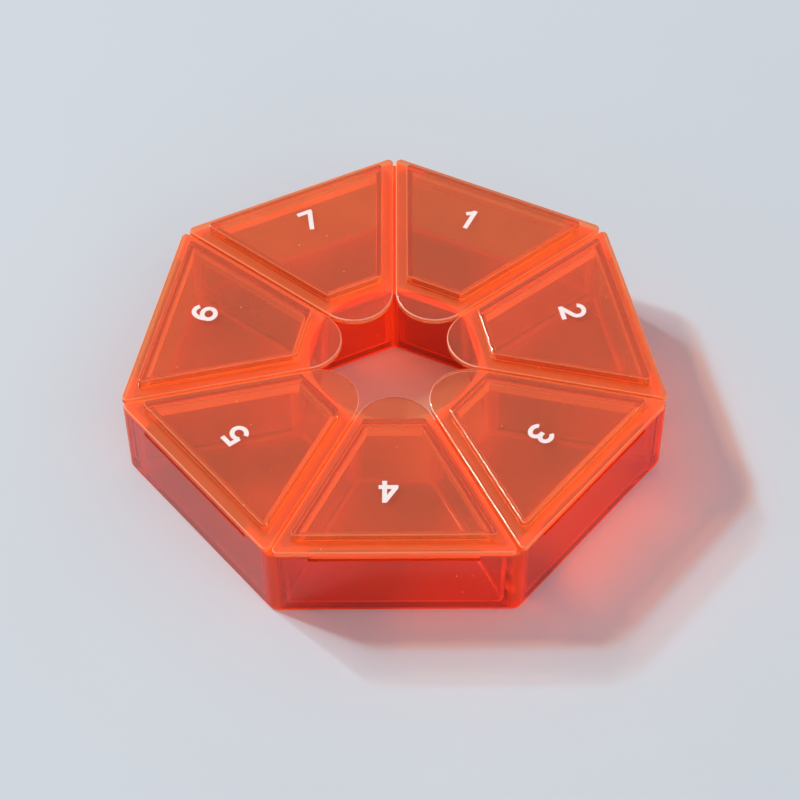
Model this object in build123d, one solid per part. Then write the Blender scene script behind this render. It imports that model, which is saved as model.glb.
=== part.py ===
from build123d import *
from math import cos, radians, sin, tan
import os

# Weekly pill organizer: a seven-sided ring of wedge compartments, each with its own hinged lid.
# Frame: origin on the base plane at the centre of the ring, +Z up, the front lid faces -Y.
# Millimetres and degrees.

# Overall form
SIDES = 7
LID_FLAT = 49.5
HEIGHT = 21.4

# Lid plate
LID_THICKNESS = 1.4
LID_GAP = 0.6
LID_CORNER = 1.0
LID_OVERHANG = 0.35
TAB_TIP = 10.9
EDGE_ROUND_TOP = 0.35
EDGE_BEVEL_UNDER = 0.2
SEAT_GAP = 0.15

# Raised panel of the lid and the lip below it
PANEL_RISE = 2.2
PANEL_WALL = 1.2
PANEL_TOP = 1.2
PANEL_DRAFT = 2.5
PANEL_OUTER_CLEARANCE = 0.45
PANEL_INNER_CLEARANCE = 0.8
PANEL_SIDE_CLEARANCE = 1.55
PANEL_CORNER = 0.8
PANEL_EDGE_ROUND = 0.35
LIP_DEPTH = 1.1

# Tray walls
OUTER_WALL = 1.6
INNER_WALL = 1.5
PARTITION = 1.7
FLOOR = 1.5
HOLE_FLAT = 15.9
OUTER_DRAFT = 1.5
HOLE_DRAFT = 3.0
PARTITION_DRAFT = 1.0

# Tray rounds and bevels
CORNER_ROUND = 2.5
HOLE_CORNER = 0.8
POCKET_CORNER = 1.2
FLOOR_ROUND = 0.9
BASE_ROUND = 0.8
HOLE_BASE_BEVEL = 0.5
RIM_EDGE_BEVEL = 0.25

# Hinge
POST = 7.4
BARREL_FLUSH = 0.15
BARREL_GAP = 0.15
NOTCH_CLEARANCE = 0.2
PIN_RADIUS = 0.4
PIN_FIT = 0.05
PIN_LENGTH = 1.1
SOCKET_END = 0.25

# Derived places
STEP = 360 / SIDES
HALF = radians(STEP / 2)
FRONT = (SIDES + 1) // 2
PLATE_TOP = HEIGHT - PANEL_RISE
PLATE_BOTTOM = PLATE_TOP - LID_THICKNESS
LIP_BOTTOM = PLATE_BOTTOM - LIP_DEPTH
WALL_TOP = PLATE_BOTTOM - SEAT_GAP
RIM_ROUND = OUTER_WALL / 2
HINGE_Z = WALL_TOP - RIM_ROUND
BARREL_RADIUS = OUTER_WALL / 2 - BARREL_FLUSH
SOCKET_RADIUS = PIN_RADIUS + PIN_FIT
ABOVE = WALL_TOP + 1


def outer_flat(z):
    """Centre to the tray's outer wall at height z."""
    return LID_FLAT - LID_OVERHANG - (WALL_TOP - z) * tan(radians(OUTER_DRAFT))


def hole_flat(z):
    """Centre to the face of the centre hole at height z: the hole widens towards the base."""
    return HOLE_FLAT + (WALL_TOP - z) * tan(radians(HOLE_DRAFT))


def half_partition(z):
    """Half the thickness of a partition at height z."""
    return PARTITION / 2 + (WALL_TOP - z) * tan(radians(PARTITION_DRAFT))


PANEL_IN = hole_flat(WALL_TOP) + INNER_WALL + PANEL_INNER_CLEARANCE
PANEL_OUT = outer_flat(WALL_TOP) - OUTER_WALL - PANEL_OUTER_CLEARANCE
PANEL_SIDE = half_partition(WALL_TOP) + PANEL_SIDE_CLEARANCE
HINGE_FLAT = outer_flat(HINGE_Z) - OUTER_WALL / 2
NOTCH_END = outer_flat(HINGE_Z) * tan(HALF) - POST
BARREL_END = NOTCH_END - BARREL_GAP
PIN_END = BARREL_END + PIN_LENGTH


def ring_face(flat, z):
    """Regular polygon with a corner on +Y and the given distance from the centre to its sides."""
    radius = flat / cos(HALF)
    angles = [radians(90 + STEP * k) for k in range(SIDES)]
    return Pos(0, 0, z) * Polygon(*[(radius * cos(a), radius * sin(a)) for a in angles], align=None)


def wedge_face(flat_in, flat_out, side, z):
    """Front wedge between two distances from the centre, kept a distance from both radial planes."""
    u_in = flat_in * tan(HALF) - side / cos(HALF)
    u_out = flat_out * tan(HALF) - side / cos(HALF)
    corners = [(-u_out, -flat_out), (u_out, -flat_out), (u_in, -flat_in), (-u_in, -flat_in)]
    return Pos(0, 0, z) * Polygon(*corners, align=None)


def panel_face(inset, z):
    """Outline of the raised panel's foot, drawn in by a distance on all sides, at height z."""
    return wedge_face(PANEL_IN + inset, PANEL_OUT - inset, PANEL_SIDE + inset, z)


def lean(rise):
    """How far a wall of the raised panel leans in over a height."""
    return rise * tan(radians(PANEL_DRAFT))


def upright_edges(solid):
    """Edges that run up the solid's corners."""
    return solid.edges().filter_by(lambda e: abs(e.tangent_at(0.5).Z) > 0.5)


def edges_at(solid, z):
    """Edges that lie in the level plane at height z."""
    return solid.edges().filter_by_position(Axis.Z, z - 1e-4, z + 1e-4)


def within(edges, radius):
    """Edges whose middle lies within a distance of the ring's axis."""
    return edges.filter_by(lambda e: e.center().X ** 2 + e.center().Y ** 2 < radius ** 2)


def around(solid, turns):
    """The front solid turned about the centre by a number of sides."""
    return Rot(0, 0, STEP * turns) * solid


def pocket():
    """Space of the front compartment, with drafted walls and a rounded floor."""
    faces = [
        wedge_face(hole_flat(z) + INNER_WALL, outer_flat(z) - OUTER_WALL, half_partition(z), z)
        for z in (FLOOR, ABOVE)
    ]
    space = loft(faces, ruled=True)
    space = fillet(upright_edges(space), POCKET_CORNER)
    return fillet(edges_at(space, FLOOR), FLOOR_ROUND)


def hinge_cuts():
    """Barrel notch through the front outer wall, and the blind pin sockets at its ends."""
    notch_bottom = HINGE_Z - BARREL_RADIUS - NOTCH_CLEARANCE
    notch_size = (2 * NOTCH_END, 2 * OUTER_WALL, ABOVE - notch_bottom)
    notch = Box(*notch_size, align=(Align.CENTER, Align.CENTER, Align.MIN))
    cuts = [Pos(0, -HINGE_FLAT, notch_bottom) * notch]
    socket_length = PIN_END + SOCKET_END - BARREL_END
    for side in (-1, 1):
        socket = Rot(0, 90, 0) * Cylinder(SOCKET_RADIUS, socket_length)
        cuts.append(Pos(side * (BARREL_END + socket_length / 2), -HINGE_FLAT, HINGE_Z) * socket)
    return cuts


def tray():
    """One moulding: outer and inner walls, partitions and floor."""
    body = loft([ring_face(outer_flat(z), z) for z in (0, WALL_TOP)], ruled=True)
    body = fillet(upright_edges(body), CORNER_ROUND)
    body = fillet(edges_at(body, WALL_TOP), RIM_ROUND)
    body = fillet(edges_at(body, 0), BASE_ROUND)
    hole = loft([ring_face(hole_flat(z), z) for z in (-1, ABOVE)], ruled=True)
    body -= fillet(upright_edges(hole), HOLE_CORNER)
    body = chamfer(within(edges_at(body, 0), hole_flat(0) / cos(HALF)), HOLE_BASE_BEVEL)
    space = pocket()
    body -= [around(space, k) for k in range(SIDES)]
    body = chamfer(within(edges_at(body, WALL_TOP), HINGE_FLAT / cos(HALF) - CORNER_ROUND), RIM_EDGE_BEVEL)
    cuts = hinge_cuts()
    body -= [around(cut, k) for k in range(SIDES) for cut in cuts]
    return body


def lid_plate():
    """Flat plate whose inner end is a finger tab: one arc that runs on from both sides."""
    side = LID_GAP / 2
    corner = LID_FLAT * tan(HALF) - side / cos(HALF)
    arc_centre = (TAB_TIP - side) / (1 - sin(HALF))
    arc_radius = arc_centre - TAB_TIP
    start = (arc_radius * cos(HALF), -arc_centre + arc_radius * sin(HALF))
    end = (-start[0], start[1])
    outline = [
        Line((-corner, -LID_FLAT), (corner, -LID_FLAT)),
        Line((corner, -LID_FLAT), start),
        ThreePointArc(start, (0, -TAB_TIP), end),
        Line(end, (-corner, -LID_FLAT)),
    ]
    plate = Pos(0, 0, PLATE_BOTTOM) * extrude(make_face(outline), LID_THICKNESS)
    outer_corners = upright_edges(plate).filter_by_position(Axis.Y, -LID_FLAT - 0.1, -LID_FLAT + 0.1)
    plate = fillet(outer_corners, LID_CORNER)
    plate = fillet(edges_at(plate, PLATE_TOP), EDGE_ROUND_TOP)
    return chamfer(edges_at(plate, PLATE_BOTTOM), EDGE_BEVEL_UNDER)


def lid_panel():
    """Raised panel that gives the compartment headroom, with rounded corners and top edge."""
    panel = loft([panel_face(0, PLATE_TOP), panel_face(lean(PANEL_RISE), HEIGHT)], ruled=True)
    panel = fillet(upright_edges(panel), PANEL_CORNER)
    return fillet(edges_at(panel, HEIGHT), PANEL_EDGE_ROUND)


def lid_lip():
    """Lip below the plate that drops into the compartment and keeps the lid in line."""
    return loft([panel_face(lean(LIP_DEPTH), LIP_BOTTOM), panel_face(0, PLATE_BOTTOM)], ruled=True)


def lid_hollow():
    """Space under the raised panel, open at the lip."""
    ceiling = HEIGHT - PANEL_TOP
    faces = [panel_face(PANEL_WALL, LIP_BOTTOM), panel_face(PANEL_WALL + lean(ceiling - LIP_BOTTOM), ceiling)]
    return loft(faces, ruled=True)


def lid_hinge():
    """Long barrel under the lid's outer edge, with a pin at each end that points to a tray corner."""
    length = 2 * BARREL_END
    barrel = Rot(0, 90, 0) * Cylinder(BARREL_RADIUS, length)
    web_height = PLATE_BOTTOM - HINGE_Z
    web = Box(length, 2 * BARREL_RADIUS, web_height, align=(Align.CENTER, Align.CENTER, Align.MIN))
    pieces = [barrel, web]
    for side in (-1, 1):
        pin = Rot(0, 90, 0) * Cylinder(PIN_RADIUS, PIN_LENGTH + BARREL_RADIUS)
        pieces.append(Pos(side * (BARREL_END + (PIN_LENGTH - BARREL_RADIUS) / 2), 0, 0) * pin)
    return [Pos(0, -HINGE_FLAT, HINGE_Z) * piece for piece in pieces]


def lid():
    """Front lid in its closed place."""
    return lid_plate() + lid_panel() + lid_lip() + lid_hinge() - lid_hollow()


os.makedirs("parts", exist_ok=True)
export_step(tray(), "parts/tray.step")
front_lid = lid()
for number in range(1, SIDES + 1):
    export_step(around(front_lid, FRONT - number), f"parts/lid_{number}.step")
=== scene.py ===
import math

import bpy
import numpy as np
from mathutils import Matrix, Vector


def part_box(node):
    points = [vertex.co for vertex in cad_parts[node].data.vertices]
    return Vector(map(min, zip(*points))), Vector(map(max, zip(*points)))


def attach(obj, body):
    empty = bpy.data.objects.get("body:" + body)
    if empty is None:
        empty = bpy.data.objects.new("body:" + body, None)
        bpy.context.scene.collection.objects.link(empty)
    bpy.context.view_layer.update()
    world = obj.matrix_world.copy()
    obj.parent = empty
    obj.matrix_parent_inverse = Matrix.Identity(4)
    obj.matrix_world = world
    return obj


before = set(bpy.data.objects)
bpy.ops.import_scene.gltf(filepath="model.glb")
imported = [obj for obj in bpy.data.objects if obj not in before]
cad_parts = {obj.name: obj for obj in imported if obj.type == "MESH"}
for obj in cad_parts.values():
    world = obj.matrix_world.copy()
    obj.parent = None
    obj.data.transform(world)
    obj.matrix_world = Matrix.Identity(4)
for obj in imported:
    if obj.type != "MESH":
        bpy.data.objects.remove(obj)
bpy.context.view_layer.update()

# Seven-sided pill organizer in milky orange plastic: the tray, seven lids and the number on each lid.
# Metres and degrees. The front lid, number 4, faces -Y.

SIDES = 7
STEP = 360 / SIDES
HALF = math.radians(STEP / 2)
FRONT_LID = 4

# Levels and rounds of the tray and the lids, and how far from its level a flat face may lie
WALL_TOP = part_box("tray")[1].z
PANEL_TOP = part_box("lid_4")[1].z
PANEL_THICKNESS = 0.0012
PANEL_RISE = 0.0022
PANEL_CEILING = PANEL_TOP - PANEL_THICKNESS
PLATE_TOP = PANEL_TOP - PANEL_RISE
POCKET_FLOOR = 0.0015
POCKET_ROUND = 0.0009
EDGE_ROUND = 0.00035
LEVEL_SLACK = 0.00004

# Lid's milk: the tab is what lies near the axis, and the walls change from lip to panel at the plate.
# Each part has its share of milk, and a share of that milk throws light back, with a tint. That tint is
# lighter on the rounded edges, a painted glow, and paler on the tab, a painted highlight.
TAB_REACH = 0.0168
WALL_CHANGE = 0.0003
LID_CLEAREST = 0.11
LIP_MILK = 0.42
PANEL_WALL_MILK = 0.22
LID_MILK = {"rim": 0.37, "panel_edge": 0.45, "plate_edge": 0.85}
LID_THROWN = {"rim": 0.65, "panel_edge": 0.65, "plate_edge": 0.85, "panel_top": 0.6, "raised": 0.4}
LID_TINT = (1.0, 0.27, 0.085, 1)
# Lighter tint on the rounded edges: painted glow, as if light were piped along the plate to its edges.
LID_EDGE_PAINTED_GLOW_TINT = (1.0, 0.38, 0.17, 1)
# Pale peach tint on the finger tab: painted highlight, drawing light lines along the tab's edges.
TAB_PAINTED_HIGHLIGHT_TINT = (1.0, 0.56, 0.42, 1)

# Tray's milk: its parts lie or fade between heights, radii, widths beside a corner's plane, and flats,
# which are distances from the axis measured square to a side. The shares and tint are as for the lid.
RIM_GLOW = (0.0009, 0.0003)
BASE_GLOW = 0.0011
POST_RADIUS = 0.050
POST_WIDTH = (0.0011, 0.0024)
HOLE_CORNER_RADIUS = 0.0192
HOLE_CORNER_WIDTH = (0.0006, 0.0011)
POCKET_FLATS = (0.0172, 0.0478)
POCKET_END_FLATS = (0.0197, 0.0459)
POCKET_CORNER_WIDTH = 0.0023
WALL_MILK_AT_BASE = 0.05
WALL_MILK_AT_TOP = 0.12
TRAY_MILK = {"rim": 0.7, "base": 0.8, "columns": 0.6, "creases": 0.45}
TRAY_THROWN = {"rim": 1.0, "base": 0.35, "columns": 0.45, "creases": 0.5}
TRAY_TINT = (1.0, 0.14, 0.03, 1)

# Surface of the plastic: patterns in waves or cells per metre, with the spans of noise that they use
NOISE_SPAN = (0.3, 0.7)
CLOUD_WAVES = 90
CLOUD_DEPTH = 0.93
HAZE_WAVES = 900
HAZE_SPAN = (0.3, 0.75)
HAZE_ROUGHNESS = (0.04, 0.10)
DUST_CELLS = 320
DUST_WAVES = 700
DUST_SPAN = (0.52, 0.75)
DUST_SIZE = 0.055
DUST_COVER = 0.45
DUST_ROUGHNESS = 0.3
DUST_COLOUR = (0.80, 0.55, 0.45, 1)
SWELL_WAVES = 260
RIPPLE_WAVES = 3200
RIPPLE_SHARE = 0.015
RIPPLE_DEPTH = 0.00006
RIPPLE_STRENGTH = 0.25
EDGE_ROUGHNESS = 0.07
PLASTIC_IOR = 1.5

# Numbers on the lids
NUMBER_HEIGHT = 0.0053
NUMBER_STROKE = 0.00094
NUMBER_RADIUS = 0.0375
PRINT_SHIFT = (-0.0011, 0.0008)
HALF_STROKE = NUMBER_STROKE / 2 / NUMBER_HEIGHT
BOW_POINTS = 41
SHARPEST_MITRE = 0.35
INK_THICKNESS = 0.00002
INK_OVERLAP = 0.000003
INK_WAVES = 2600
INK_SPAN = (0.35, 0.75)
WEAR_WAVES = 900
WEAR_ROUGHNESS = (0.38, 0.55)
INK_DEPTH = 0.00002
INK_STRENGTH = 0.3
INK_COLOUR = (0.93, 0.80, 0.78, 1)
INK_THIN_COLOUR = (0.84, 0.69, 0.66, 1)

# Studio
STAGE_REACH = 3.0
STAGE_POINTS = 9
STAGE_DROP = 0.00002
STAGE_WAVES = 6
STAGE_ROUGHNESS = 0.75
STAGE_COLOUR = (0.55, 0.585, 0.625, 1)
STAGE_PALER_COLOUR = (0.575, 0.61, 0.65, 1)
ROOM_COLOUR = (0.93, 0.96, 1.0, 1)
ROOM_STRENGTH = 0.42

# Camera of the photograph, with lens and sensor in millimetres
CAMERA_ELEVATION = 49.3464
CAMERA_DISTANCE = 0.6489
CAMERA_LENS = 144.14
CAMERA_SENSOR = 36.0
CAMERA_CLIP = (0.01, 20.0)
CAMERA_ROLL = -0.6471
CAMERA_TURN = 0.4585
CAMERA_TARGET = (0.00102, 0.00453, 0.0)


class Nodes:
    """A material's node tree, with short calls to add a node and wire it."""

    def __init__(self, name):
        self.material = bpy.data.materials.new(name)
        self.material.use_nodes = True
        self.tree = self.material.node_tree
        self.shader = self.tree.nodes["Principled BSDF"]
        self.output = self.tree.nodes["Material Output"]
        self.coords = self.tree.nodes.new("ShaderNodeTexCoord").outputs["Object"]

    def put(self, socket, value):
        """Wires a socket to another node's output, or sets it to a number or a colour."""
        if isinstance(value, bpy.types.NodeSocket):
            self.tree.links.new(value, socket)
        else:
            socket.default_value = value

    def feed(self, node, **inputs):
        """Sets or wires a node's inputs; an underscore in a name stands for a space."""
        for name, value in inputs.items():
            self.put(node.inputs[name.replace("_", " ")], value)

    def add(self, kind, **inputs):
        """A new node with its inputs set or wired."""
        node = self.tree.nodes.new(kind)
        self.feed(node, **inputs)
        return node

    def noise(self, scale, detail, roughness=0.5):
        """Noise on Object coordinates; scale is in waves per metre."""
        node = self.add(
            "ShaderNodeTexNoise", Vector=self.coords, Scale=scale, Detail=detail, Roughness=roughness
        )
        return node.outputs["Fac"]

    def spread(self, value, low, high, to_low, to_high):
        """Maps a value from one range onto another, held at the ends."""
        node = self.add("ShaderNodeMapRange", Value=value)
        node.clamp = True
        for socket, number in zip(list(node.inputs)[1:5], (low, high, to_low, to_high)):
            socket.default_value = number
        return node.outputs["Result"]

    def maths(self, operation, first, second=0.0):
        """One arithmetic step on one or two values."""
        node = self.tree.nodes.new("ShaderNodeMath")
        node.operation = operation
        self.put(node.inputs[0], first)
        self.put(node.inputs[1], second)
        return node.outputs["Value"]

    def above(self, value, limit):
        """1 where a value is over a limit, 0 elsewhere."""
        return self.maths("GREATER_THAN", value, limit)

    def below(self, value, limit):
        """1 where a value is under a limit, 0 elsewhere."""
        return self.maths("LESS_THAN", value, limit)

    def between(self, value, low, high):
        """1 where a value is between two limits, 0 elsewhere."""
        return self.product(self.above(value, low), self.below(value, high))

    def rest(self, value):
        """What a value leaves of 1."""
        return self.maths("SUBTRACT", 1.0, value)

    def product(self, first, *others):
        """Several values multiplied together."""
        for value in others:
            first = self.maths("MULTIPLY", first, value)
        return first

    def largest(self, first, *others):
        """The largest of several values."""
        for value in others:
            first = self.maths("MAXIMUM", first, value)
        return first

    def strongest(self, parts, weights):
        """The largest of several parts, each times the weight of its name."""
        return self.largest(*[self.product(parts[name], weight) for name, weight in weights.items()])

    def place(self):
        """Object coordinates, one value for each axis."""
        return self.add("ShaderNodeSeparateXYZ", Vector=self.coords).outputs

    def height(self):
        """Height above the base, in metres."""
        return self.place()["Z"]

    def radius(self):
        """Distance from the ring's axis, in metres."""
        place = self.place()
        squares = [self.product(place[axis], place[axis]) for axis in "XY"]
        return self.maths("POWER", self.maths("ADD", *squares), 0.5)

    def off_corner(self):
        """Angle to the nearest plane from the axis to a corner of the ring, in radians."""
        place = self.place()
        heading = self.maths("ARCTAN2", place["Y"], place["X"])
        return self.maths("PINGPONG", self.maths("SUBTRACT", heading, math.pi / 2), HALF)

    def mix(self, share, first, second):
        """Mixes two shaders by a share."""
        node = self.tree.nodes.new("ShaderNodeMixShader")
        for socket, source in zip(node.inputs, (share, first, second)):
            self.put(socket, source)
        return node.outputs["Shader"]

    def blend(self, share, first, second):
        """Mixes two colours by a share."""
        node = self.tree.nodes.new("ShaderNodeMix")
        node.data_type = "RGBA"
        sockets = {socket.identifier: socket for socket in node.inputs}
        self.put(sockets["Factor_Float"], share)
        self.put(sockets["A_Color"], first)
        self.put(sockets["B_Color"], second)
        return next(socket for socket in node.outputs if socket.identifier == "Result_Color")


def at_level(n, level):
    """1 on flat faces at a height, 0 elsewhere."""
    return n.between(n.height(), level - LEVEL_SLACK, level + LEVEL_SLACK)


def edge_below(n, level):
    """1 on the rounded edge just below a flat face at a height, 0 elsewhere."""
    return n.between(n.height(), level - EDGE_ROUND, level - LEVEL_SLACK)


def lid_milk(n):
    """Share of milk on a lid, the part of it that throws light back, and that part's colour.

    The panel's flat top and the finger tab are nearly clear. Walls and rim are milkier, and the rounded
    edges most. The colour thrown back is lighter on the rounded edges, a painted glow, and paler on the
    tab, a painted highlight.
    """
    tab = n.below(n.radius(), TAB_REACH)
    parts = {
        "rim": n.product(at_level(n, PLATE_TOP), n.rest(tab)),
        "panel_edge": edge_below(n, PANEL_TOP),
        "plate_edge": edge_below(n, PLATE_TOP),
        "panel_top": at_level(n, PANEL_TOP),
        "raised": n.above(n.height(), PLATE_TOP + LEVEL_SLACK),
    }
    flats = n.largest(tab, parts["panel_top"], at_level(n, PANEL_CEILING))
    walls = n.spread(
        n.height(), PLATE_TOP - WALL_CHANGE, PLATE_TOP + WALL_CHANGE, LIP_MILK, PANEL_WALL_MILK
    )
    share = n.largest(n.product(n.rest(flats), walls), n.strongest(parts, LID_MILK), LID_CLEAREST)
    # The thrown colour is lighter on the rounded edges and paler on the tab: painted glow and painted
    # highlight.
    edges = n.largest(parts["plate_edge"], parts["panel_edge"])
    colour = n.blend(tab, n.blend(edges, LID_TINT, LID_EDGE_PAINTED_GLOW_TINT), TAB_PAINTED_HIGHLIGHT_TINT)
    return share, n.strongest(parts, LID_THROWN), colour


def tray_milk(n):
    """Share of milk on the tray, the part of it that throws light back, and that part's colour.

    Light gathers in the wall tops, the round of the base, the solid columns at the corners and the round
    between wall and floor, so these are milkier than the plain walls.
    """
    height = n.height()
    radius = n.radius()
    angle = n.off_corner()
    from_corner = n.product(radius, n.maths("SINE", angle))
    flat = n.product(radius, n.maths("COSINE", n.maths("SUBTRACT", angle, HALF)))
    posts = n.product(n.spread(from_corner, *POST_WIDTH, 1.0, 0.0), n.above(radius, POST_RADIUS))
    hole_corners = n.product(
        n.spread(from_corner, *HOLE_CORNER_WIDTH, 1.0, 0.0), n.below(radius, HOLE_CORNER_RADIUS)
    )
    pocket_ends = n.rest(n.between(flat, *POCKET_END_FLATS))
    pocket_corners = n.product(
        pocket_ends, n.below(from_corner, POCKET_CORNER_WIDTH), n.above(height, POCKET_FLOOR)
    )
    floor_round = n.between(height, POCKET_FLOOR + LEVEL_SLACK, POCKET_FLOOR + POCKET_ROUND)
    parts = {
        "rim": n.spread(height, WALL_TOP - RIM_GLOW[0], WALL_TOP - RIM_GLOW[1], 0.0, 1.0),
        "base": n.between(height, LEVEL_SLACK, BASE_GLOW),
        "columns": n.product(n.largest(posts, hole_corners), n.above(height, LEVEL_SLACK)),
        "creases": n.product(n.between(flat, *POCKET_FLATS), n.largest(pocket_corners, floor_round)),
    }
    walls = n.spread(height, 0.0, WALL_TOP, WALL_MILK_AT_BASE, WALL_MILK_AT_TOP)
    return n.largest(walls, n.strongest(parts, TRAY_MILK)), n.strongest(parts, TRAY_THROWN), TRAY_TINT


def moulded_plastic(name, tint, milk_tint, lamp_tint, clear, milk, absorb, density):
    """Translucent moulded plastic.

    Clear plastic tints what is seen through it, and its milk spreads light from behind or throws it back,
    by the shares that milk gives. The gloss is uneven, the surface has a fine moulding ripple and a few
    specks of dust, and lamp light passes straight through with a tint.
    """
    n = Nodes(name)
    cloud = n.noise(CLOUD_WAVES, detail=2.0)
    haze = n.noise(HAZE_WAVES, detail=4.0, roughness=0.6)
    cells = n.add("ShaderNodeTexVoronoi", Vector=n.coords, Scale=DUST_CELLS, Randomness=1.0)
    dust_size = n.spread(n.noise(DUST_WAVES, detail=0.0), *DUST_SPAN, 0.0, DUST_SIZE)
    dust = n.below(cells.outputs["Distance"], dust_size)
    deeper = tuple(channel * CLOUD_DEPTH for channel in tint[:3]) + (1,)
    colour = n.blend(n.spread(cloud, *NOISE_SPAN, 0.0, 1.0), deeper, tint)
    colour = n.blend(n.product(dust, DUST_COVER), colour, DUST_COLOUR)
    hazy = n.spread(haze, *HAZE_SPAN, *HAZE_ROUGHNESS)
    roughness = n.maths("ADD", hazy, n.product(dust, DUST_ROUGHNESS))
    fine = n.product(n.noise(RIPPLE_WAVES, detail=1.0), RIPPLE_SHARE)
    ripple = n.maths("ADD", n.noise(SWELL_WAVES, detail=1.0), fine)
    bump = n.add("ShaderNodeBump", Height=ripple, Strength=RIPPLE_STRENGTH, Distance=RIPPLE_DEPTH)
    n.feed(
        n.shader, Base_Color=colour, Roughness=roughness, Normal=bump.outputs["Normal"],
        Transmission_Weight=clear, IOR=PLASTIC_IOR,
    )
    share, thrown, thrown_tint = milk(n)
    passed_on = n.add("ShaderNodeBsdfTranslucent", Color=milk_tint)
    thrown_back = n.add(
        "ShaderNodeBsdfPrincipled", Base_Color=thrown_tint, Roughness=EDGE_ROUGHNESS, IOR=PLASTIC_IOR
    )
    glow = n.mix(thrown, passed_on.outputs[0], thrown_back.outputs[0])
    surface = n.mix(share, n.shader.outputs[0], glow)
    rays = n.add("ShaderNodeLightPath")
    through = n.add("ShaderNodeBsdfTransparent", Color=lamp_tint)
    surface = n.mix(rays.outputs["Is Shadow Ray"], surface, through.outputs[0])
    inside = n.add("ShaderNodeVolumeAbsorption", Color=absorb, Density=density)
    n.feed(n.output, Surface=surface, Volume=inside.outputs["Volume"])
    return n.material


def print_ink():
    """White screen-print ink: a faint warm tint, slightly uneven cover and a dull surface."""
    n = Nodes("lid_print_ink")
    cover = n.noise(INK_WAVES, detail=4.0, roughness=0.65)
    wear = n.noise(WEAR_WAVES, detail=2.0)
    colour = n.blend(n.spread(cover, *INK_SPAN, 0.0, 1.0), INK_COLOUR, INK_THIN_COLOUR)
    relief = n.maths("ADD", cover, wear)
    bump = n.add("ShaderNodeBump", Height=relief, Strength=INK_STRENGTH, Distance=INK_DEPTH)
    roughness = n.spread(wear, *NOISE_SPAN, *WEAR_ROUGHNESS)
    n.feed(n.shader, Base_Color=colour, Roughness=roughness, Normal=bump.outputs["Normal"])
    return n.material


def floor_paint():
    """Plain pale matt floor with a faint mottle."""
    n = Nodes("pale_floor")
    mottle = n.noise(STAGE_WAVES, detail=3.0)
    colour = n.blend(n.spread(mottle, *NOISE_SPAN, 0.0, 1.0), STAGE_COLOUR, STAGE_PALER_COLOUR)
    n.feed(n.shader, Base_Color=colour, Roughness=STAGE_ROUGHNESS)
    return n.material


def lid_frame(number):
    """Sideways and outward directions of a lid, by its number; lid 4 is at the front."""
    outward = math.radians(-90 + (FRONT_LID - number) * STEP)
    out = np.array([math.cos(outward), math.sin(outward)])
    side = np.array([out[1], -out[0]])
    return side, out


def straight(*points):
    """Stroke that runs straight from point to point."""
    return np.array(points, float)


def bow(middle, radii, start, stop):
    """Stroke along an ellipse: middle + radii * (cos a, sin a), as a goes from start to stop degrees."""
    angles = np.radians(np.linspace(start, stop, BOW_POINTS))
    return np.array(middle) + np.stack([radii[0] * np.cos(angles), radii[1] * np.sin(angles)], axis=-1)


def number_strokes(number):
    """Middle lines of a plain bold number.

    They are in shares of its height, with y up and x measured from its middle.
    """
    low, high = HALF_STROKE, 1 - HALF_STROKE
    if number == 1:
        return [straight((0.06, 0), (0.06, 1)), straight((-0.21, 0.72), (0.06, 0.885))]
    if number == 2:
        centre = 0.655
        curl = bow((0, centre), (0.262, high - centre), 168, -48)
        return [np.vstack([curl, straight((-0.265, low))]), straight((-0.33, low), (0.325, low))]
    if number == 3:
        waist = 0.52
        nose = straight((-0.09, waist))
        upper = bow((0, (high + waist) / 2), (0.24, (high - waist) / 2), 158, -90)
        lower = bow((0, (low + waist) / 2), (0.27, (waist - low) / 2), 90, -158)
        return [np.vstack([upper, nose]), np.vstack([nose, lower])]
    if number == 4:
        bar = 0.285
        upright = straight((0.13, 0), (0.13, 1))
        return [upright, straight((-0.36, bar), (0.345, bar)), straight((-0.29, bar), (0.12, 0.935))]
    if number == 5:
        centre = 0.345
        belly = bow((-0.005, centre), (0.272, centre - low), 142, -156)
        back = straight((-0.2, 1), belly[0] + (0.012, -0.01))
        return [back, straight((-0.2, high), (0.27, high)), belly]
    if number == 6:
        centre = 0.335
        shoulder = 0.49
        ring = bow((0, centre), (0.268, centre - low), 0, 360)
        return [ring, bow((0.045, shoulder), (0.313, high - shoulder), 38, 200)]
    return [straight((-0.3, high), (0.3, high)), straight((0.215, high), (-0.1, 0))]


def ribbon(path, width, thickness):
    """Flat strip with its foot in the level plane.

    The rectangle width by thickness is carried along the path and mitred at its bends.
    """
    ahead = np.diff(path, axis=0)
    ahead /= np.linalg.norm(ahead, axis=1, keepdims=True)
    before = np.vstack([ahead[:1], ahead])
    after = np.vstack([ahead, ahead[-1:]])
    normal = np.stack([-(before + after)[:, 1], (before + after)[:, 0]], axis=-1)
    normal /= np.linalg.norm(normal, axis=1, keepdims=True)
    square = np.stack([-after[:, 1], after[:, 0]], axis=-1)
    reach = width / 2 / np.maximum((normal * square).sum(axis=1, keepdims=True), SHARPEST_MITRE)
    left, right = path + normal * reach, path - normal * reach
    top = np.full((len(path), 1), thickness)
    foot = np.zeros_like(top)
    rails = [np.hstack(rail) for rail in ((right, foot), (right, top), (left, top), (left, foot))]
    points = np.stack(rails, axis=1).reshape(-1, 3)
    index = np.arange(len(points)).reshape(-1, 4)
    around = np.roll(index, -1, axis=1)
    sides = np.stack([index[:-1], index[1:], around[1:], around[:-1]], axis=-1).reshape(-1, 4)
    return points, np.vstack([sides, index[:1], index[-1:, ::-1]])


def add_mesh(name, points, faces, material):
    """A new object in the scene, with its place in its mesh."""
    mesh = bpy.data.meshes.new(name)
    mesh.from_pydata(points.tolist(), [], faces.tolist())
    mesh.materials.append(material)
    piece = bpy.data.objects.new(name, mesh)
    bpy.context.scene.collection.objects.link(piece)
    return piece


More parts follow.
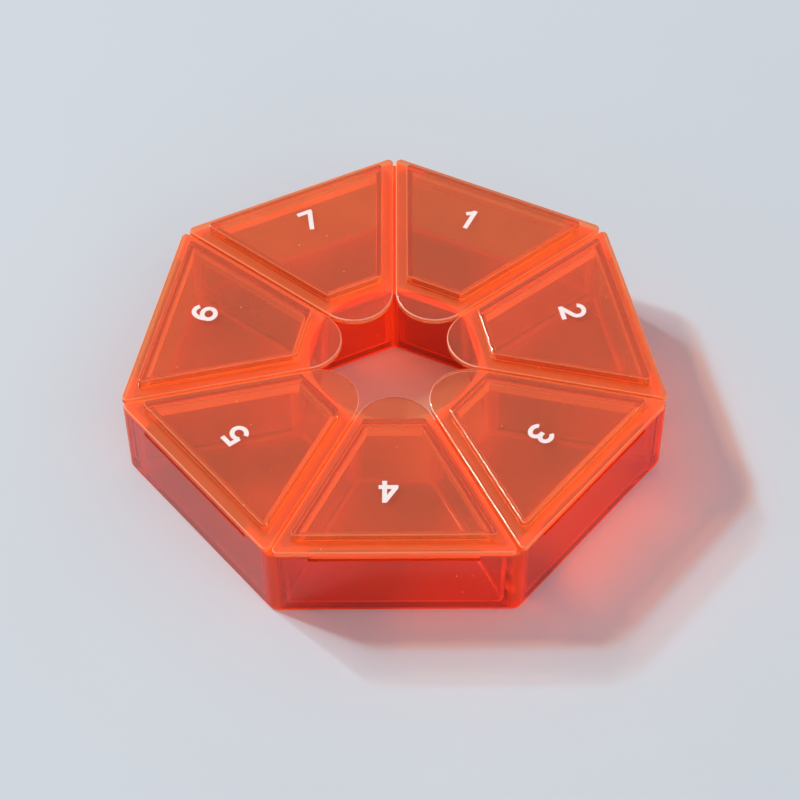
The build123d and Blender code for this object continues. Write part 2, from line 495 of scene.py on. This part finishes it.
def number_piece(number, ink):
    """The number's strokes as flat ribbons of ink, laid on its lid with the number's top outward."""
    points, faces, count = [], [], 0
    for order, path in enumerate(number_strokes(number)):
        strip, quads = ribbon(path * NUMBER_HEIGHT, NUMBER_STROKE, INK_THICKNESS + order * INK_OVERLAP)
        points.append(strip)
        faces.append(quads + count)
        count += len(strip)
    points = np.vstack(points) - (0, NUMBER_HEIGHT / 2, 0)
    side, out = lid_frame(number)
    middle = out * NUMBER_RADIUS + np.array(PRINT_SHIFT)
    flat = middle + points[:, :1] * side + points[:, 1:2] * out
    placed = np.hstack([flat, PANEL_TOP + points[:, 2:]])
    piece = add_mesh(f"number_{number}", placed, np.vstack(faces), ink)
    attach(piece, f"lid_{number}")


def dress(node, material):
    """Gives a CAD node its finish."""
    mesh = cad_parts[node].data
    mesh.materials.clear()
    mesh.materials.append(material)


def make_floor():
    """Flat square grid just below the object's base."""
    steps = np.linspace(-STAGE_REACH, STAGE_REACH, STAGE_POINTS)
    across, along = np.meshgrid(steps, steps, indexing="ij")
    points = np.stack([across, along, np.full_like(across, -STAGE_DROP)], axis=-1).reshape(-1, 3)
    index = np.arange(points.shape[0]).reshape(across.shape)
    corners = [index[:-1, :-1], index[1:, :-1], index[1:, 1:], index[:-1, 1:]]
    floor = add_mesh("floor", points, np.stack(corners, axis=-1).reshape(-1, 4), floor_paint())


def soft_box(name, place, size, watts):
    """Square lamp at a place, turned to face the middle of the ring's base."""
    lamp = bpy.data.lights.new(name, "AREA")
    lamp.shape = "SQUARE"
    lamp.size = size
    lamp.energy = watts
    holder = bpy.data.objects.new(name, lamp)
    turn = (-Vector(place)).to_track_quat("-Z", "Y")
    holder.matrix_world = Matrix.Translation(Vector(place)) @ turn.to_matrix().to_4x4()
    bpy.context.scene.collection.objects.link(holder)


def make_light():
    """Soft key from the left and behind, a weak fill from the front right and an even pale room.

    Two small lamps beside the key draw thin white lines along the lids' edges.
    """
    soft_box("key_light", place=(-2.84, 1.80, 2.72), size=0.8, watts=41.6)
    soft_box("glint_light_low", place=(-2.77, 1.22, 2.91), size=0.275, watts=77.0)
    soft_box("glint_light_high", place=(-2.545, 2.2, 2.525), size=0.175, watts=45.5)
    soft_box("fill_light", place=(2.2, -3.0, 3.4), size=3.6, watts=40.0)
    world = bpy.data.worlds.new("studio")
    bpy.context.scene.world = world
    world.use_nodes = True
    background = world.node_tree.nodes["Background"]
    background.inputs["Color"].default_value = ROOM_COLOUR
    background.inputs["Strength"].default_value = ROOM_STRENGTH


def make_camera():
    """Camera of the photograph: a pinhole with a small roll, fitted to the lids' straight edges."""
    rise = math.radians(CAMERA_ELEVATION)
    back = Vector((0, -math.cos(rise), math.sin(rise)))
    level = Vector((1, 0, 0))
    up = back.cross(level)
    roll = math.radians(CAMERA_ROLL)
    right = math.cos(roll) * level + math.sin(roll) * up
    top = -math.sin(roll) * level + math.cos(roll) * up
    stand = Matrix((right, top, back)).transposed().to_4x4()
    stand.translation = Vector(CAMERA_TARGET) + CAMERA_DISTANCE * back
    camera = bpy.data.cameras.new("camera")
    camera.sensor_width = CAMERA_SENSOR
    camera.lens = CAMERA_LENS
    camera.clip_start, camera.clip_end = CAMERA_CLIP
    holder = bpy.data.objects.new("camera", camera)
    holder.matrix_world = Matrix.Rotation(math.radians(CAMERA_TURN), 4, "Z") @ stand
    bpy.context.scene.collection.objects.link(holder)
    bpy.context.scene.camera = holder


# The tray's clear tint is deeper and redder than the lids', though the plastic is the same: partly the
# deeper colour seen through the tray's thick walls, partly painted shade that darkens its walls, the
# shaded front wall most.
tray_plastic = moulded_plastic(
    "tray_plastic",
    tint=(0.89, 0.20, 0.045, 1),
    milk_tint=(1.0, 0.22, 0.05, 1),
    lamp_tint=(0.60, 0.22, 0.10, 1),
    clear=0.92,
    milk=tray_milk,
    absorb=(0.97, 0.28, 0.11, 1),
    density=75.0,
)
lid_plastic = moulded_plastic(
    "lid_plastic",
    tint=(0.99, 0.57, 0.31, 1),
    milk_tint=(1.0, 0.36, 0.13, 1),
    lamp_tint=(0.94, 0.66, 0.47, 1),
    clear=0.95,
    milk=lid_milk,
    absorb=(0.97, 0.38, 0.18, 1),
    density=28.0,
)
ink = print_ink()
dress("tray", tray_plastic)
for number in range(1, SIDES + 1):
    dress(f"lid_{number}", lid_plastic)
    number_piece(number, ink)

make_floor()
make_light()
make_camera()
bpy.context.scene.view_settings.view_transform = "Standard"
